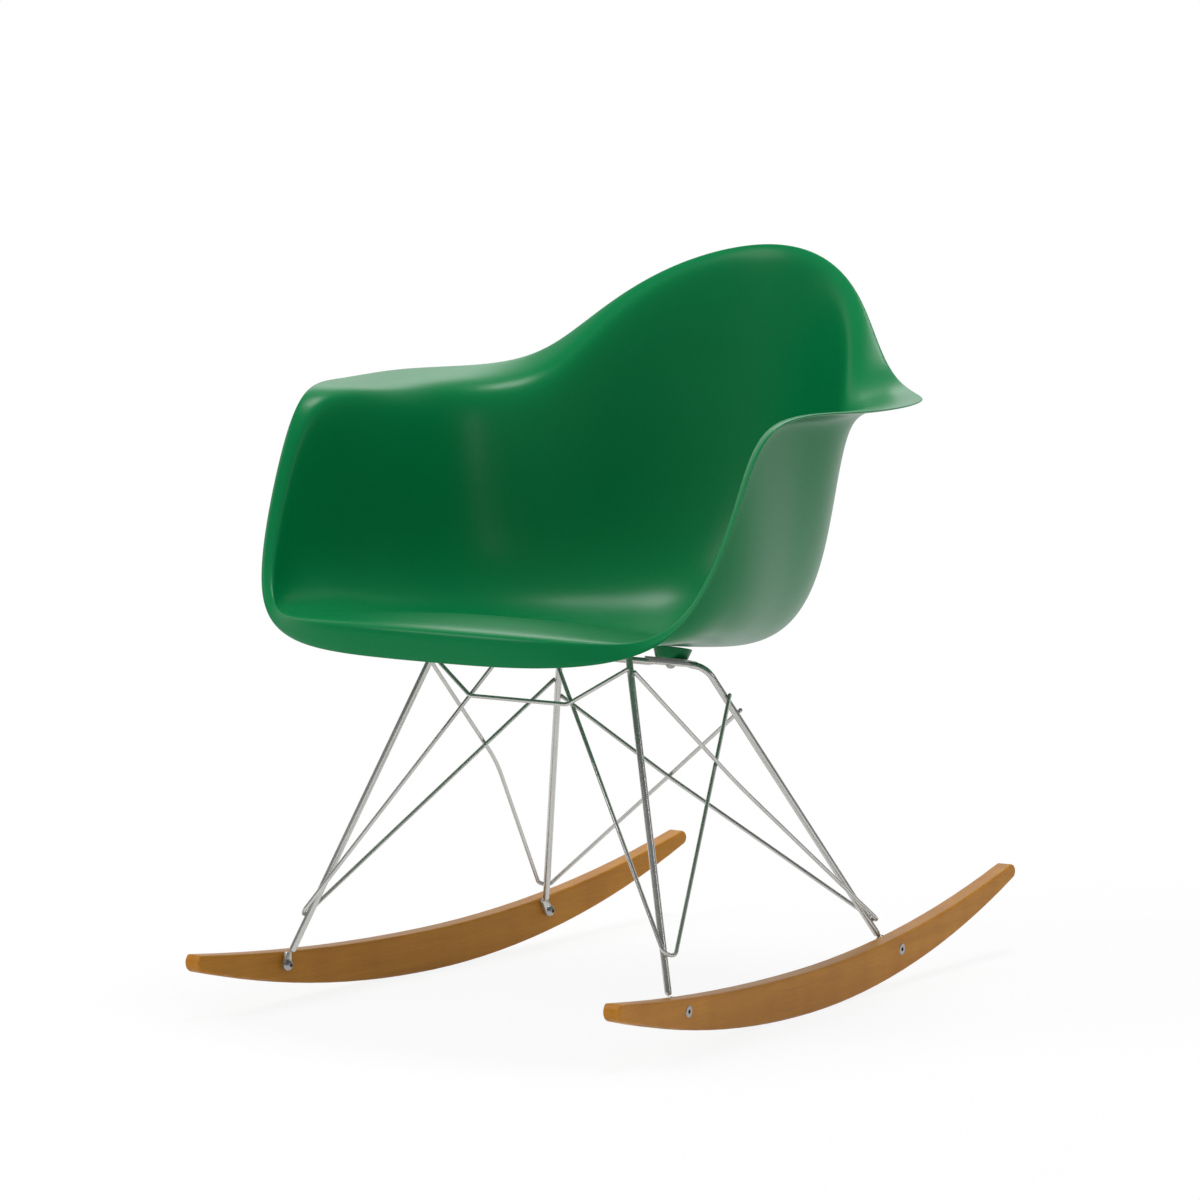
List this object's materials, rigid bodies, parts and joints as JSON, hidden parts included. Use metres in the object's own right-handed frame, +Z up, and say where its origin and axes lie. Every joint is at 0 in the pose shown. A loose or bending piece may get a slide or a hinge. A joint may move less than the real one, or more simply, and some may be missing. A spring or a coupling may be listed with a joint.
{
  "type": "rocking chair",
  "caption": "Rocking armchair: moulded plastic bucket seat on a braced rod base with curved wooden rockers.",
  "frame": {"origin": "on the floor, under the middle of the chair's bounding box", "axes": "+Z up, the chair faces -Y, the sitter's left is +X; X = 0 is the middle plane"},
  "size_m": [0.6306, 0.7979, 0.7265],
  "materials": {
    "shell_plastic": "satin moulded polypropylene, deep green",
    "chromed_rod": "bright chromed steel rod",
    "rocker_wood": "clear satin lacquer over honey-coloured maple",
    "mount_plate_steel": "plain zinc-plated steel",
    "insert_brass": "plain turned",
    "fastener_steel": "zinc-plated steel"
  },
  "bodies": {
    "root": {"seat_shell": "shell_plastic", "front_leg_frame": "chromed_rod", "rear_leg_frame": "chromed_rod", "front_brace": "chromed_rod", "stay_wire_left": "chromed_rod", "stay_wire_right": "chromed_rod", "cross_wire_left": "chromed_rod", "cross_wire_right": "chromed_rod", "rocker_left": "rocker_wood", "rocker_right": "rocker_wood", "mount_plate_front_left": "mount_plate_steel", "mount_plate_front_right": "mount_plate_steel", "mount_plate_rear_left": "mount_plate_steel", "mount_plate_rear_right": "mount_plate_steel", "mount_inserts": "insert_brass", "mount_screws": "fastener_steel", "leg_bolts": "fastener_steel", "sleeve_nuts": "fastener_steel"}
  },
  "joints": []
}
